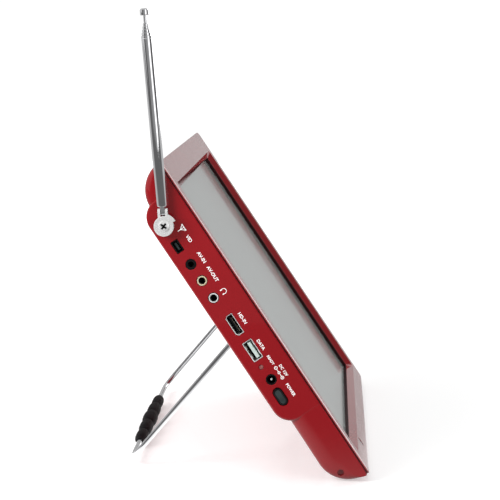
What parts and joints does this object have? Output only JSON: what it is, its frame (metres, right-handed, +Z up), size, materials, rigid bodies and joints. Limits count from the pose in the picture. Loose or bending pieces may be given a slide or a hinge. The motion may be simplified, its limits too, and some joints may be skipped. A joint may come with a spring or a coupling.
{
  "type": "portable dvd player",
  "caption": "Reclined slab-shaped portable disc player and television with a screen, side sockets, a telescopic antenna, a rear disc lid and a folding wire stand with a moulded grip.",
  "frame": {"origin": "middle of the rubber foot's resting face, on the table below the rounded bottom edge", "axes": "+X to the viewer's right across the screen, the screen faces -Y and leans back, +Z up"},
  "size_m": [0.3783, 0.1651, 0.3067],
  "materials": {
    "case_red": "high gloss",
    "screen": "satin, light grey when off",
    "panel": "matt",
    "bright_metal": "bright plated",
    "rubber": "matt",
    "grip_foam": "matt, slightly grained",
    "dark_window": "dark translucent",
    "dark_steel": "black oxide",
    "board": "solder mask",
    "battery_wrap": "shrink film",
    "speaker": "paper and steel",
    "black_plastic": "satin",
    "pale_plastic": "satin",
    "ring_gold": "polished",
    "led_lens": "clear, tinted",
    "button_grey": "satin",
    "hub_plastic": "satin",
    "pickup_cast": "cast",
    "lens": "coated",
    "chrome": "polished"
  },
  "bodies": {
    "case": {"front_bezel": "case_red", "screen_glass": "screen", "lcd_panel": "panel", "panel_frame": "bright_metal", "rear_cover": "case_red", "foot_strip": "rubber", "ir_window": "dark_window", "case_screws": "dark_steel", "main_board": "board", "tuner_can": "bright_metal", "backlight_board": "board", "battery_pack": "battery_wrap", "speaker_left": "speaker", "speaker_right": "speaker", "video_port": "black_plastic", "av_in_jack": "black_plastic", "av_out_jack": "black_plastic", "av_out_ring": "ring_gold", "headphone_jack": "black_plastic", "headphone_ring": "bright_metal", "hd_port": "bright_metal", "hd_port_tongue": "black_plastic", "data_port": "bright_metal", "data_port_tongue": "pale_plastic", "status_led": "led_lens", "dc_jack": "black_plastic", "dc_pin": "bright_metal", "button_well": "black_plastic", "power_switch": "black_plastic", "key_board": "board", "deck_tray": "black_plastic", "guide_rods": "bright_metal", "spindle_motor": "bright_metal", "sled_motor": "bright_metal", "lid_pin": "bright_metal", "stand_brackets": "black_plastic", "antenna_screw": "chrome"},
    "stand": {"wire_stand": "chrome", "stand_grip": "grip_foam"},
    "antenna_base": {"antenna_knuckle": "chrome", "tilt_pin": "dark_steel"},
    "mast_1": {"antenna_tube_1": "chrome"},
    "mast_2": {"antenna_tube_2": "chrome"},
    "mast_3": {"antenna_tube_3": "chrome"},
    "mast_4": {"antenna_tube_4": "chrome"},
    "mast_5": {"antenna_rod": "chrome", "antenna_tip": "chrome"},
    "power_button": {"power_button": "button_grey"},
    "key_1": {"key_1": "button_grey"},
    "key_2": {"key_2": "button_grey"},
    "key_3": {"key_3": "button_grey"},
    "key_4": {"key_4": "button_grey"},
    "key_5": {"key_5": "button_grey"},
    "disc_lid": {"disc_lid": "case_red"},
    "open_button": {"open_button": "button_grey"},
    "disc_hub": {"disc_hub": "hub_plastic"},
    "pickup": {"pickup_sled": "pickup_cast", "pickup_lens": "lens"},
    "lead_screw": {"lead_screw": "bright_metal"}
  },
  "joints": [
    {"name": "stand_swing", "type": "hinge", "parent": "case", "child": "stand", "pos_m": [0, 0.07407, 0.08942], "axis": [-1, 0, 0], "range_deg": [0, 74]},
    {"name": "antenna_turn", "type": "hinge", "parent": "case", "child": "antenna_base", "pos_m": [-0.189, 0.11854, 0.16772], "axis": [1, 0, 0], "range_deg": [-90, 150]},
    {"name": "antenna_tilt", "type": "hinge", "parent": "antenna_base", "child": "mast_1", "pos_m": [-0.189, 0.11932, 0.17658], "axis": [0, -0.9962, 0.0872], "range_deg": [0, 90]},
    {"name": "mast_slide_1", "type": "slide", "parent": "mast_1", "child": "mast_2", "axis": [0, 0.0872, 0.9962], "range_m": [0, 0.09]},
    {"name": "mast_slide_2", "type": "slide", "parent": "mast_2", "child": "mast_3", "axis": [0, 0.0872, 0.9962], "range_m": [0, 0.09]},
    {"name": "mast_slide_3", "type": "slide", "parent": "mast_3", "child": "mast_4", "axis": [0, 0.0872, 0.9962], "range_m": [0, 0.09]},
    {"name": "mast_slide_4", "type": "slide", "parent": "mast_4", "child": "mast_5", "axis": [0, 0.0872, 0.9962], "range_m": [0, 0.09]},
    {"name": "power_press", "type": "slide", "parent": "case", "child": "power_button", "axis": [1, 0, 0], "range_m": [0, 0.0012], "stiffness_N_per_m": 600},
    {"name": "key_press_1", "type": "slide", "parent": "case", "child": "key_1", "axis": [0, -0.95, -0.3123], "range_m": [0, 0.0005], "stiffness_N_per_m": 800},
    {"name": "key_press_2", "type": "slide", "parent": "case", "child": "key_2", "axis": [0, -0.95, -0.3123], "range_m": [0, 0.0005], "stiffness_N_per_m": 800},
    {"name": "key_press_3", "type": "slide", "parent": "case", "child": "key_3", "axis": [0, -0.95, -0.3123], "range_m": [0, 0.0005], "stiffness_N_per_m": 800},
    {"name": "key_press_4", "type": "slide", "parent": "case", "child": "key_4", "axis": [0, -0.95, -0.3123], "range_m": [0, 0.0005], "stiffness_N_per_m": 800},
    {"name": "key_press_5", "type": "slide", "parent": "case", "child": "key_5", "axis": [0, -0.95, -0.3123], "range_m": [0, 0.0005], "stiffness_N_per_m": 800},
    {"name": "lid_swing", "type": "hinge", "parent": "case", "child": "disc_lid", "pos_m": [0, 0.12583, 0.16458], "axis": [1, 0, 0], "range_deg": [0, 75]},
    {"name": "open_press", "type": "slide", "parent": "case", "child": "open_button", "axis": [0, -0.831, 0.5563], "range_m": [0, 0.0015], "stiffness_N_per_m": 500},
    {"name": "disc_spin", "type": "hinge", "parent": "case", "child": "disc_hub", "pos_m": [0, 0.08498, 0.11112], "axis": [0, 0.831, -0.5563], "continuous": true},
    {"name": "pickup_slide", "type": "slide", "parent": "case", "child": "pickup", "axis": [-1, 0, 0], "range_m": [0, 0.034]},
    {"name": "lead_screw_turn", "type": "hinge", "parent": "case", "child": "lead_screw", "pos_m": [-0.04, 0.07472, 0.10836], "axis": [1, 0, 0], "range_deg": [0, 4100]}
  ],
  "couplings": [
    {"joint": "lead_screw_turn", "follows": "pickup_slide", "rad_per_m": 2094.4}
  ]
}
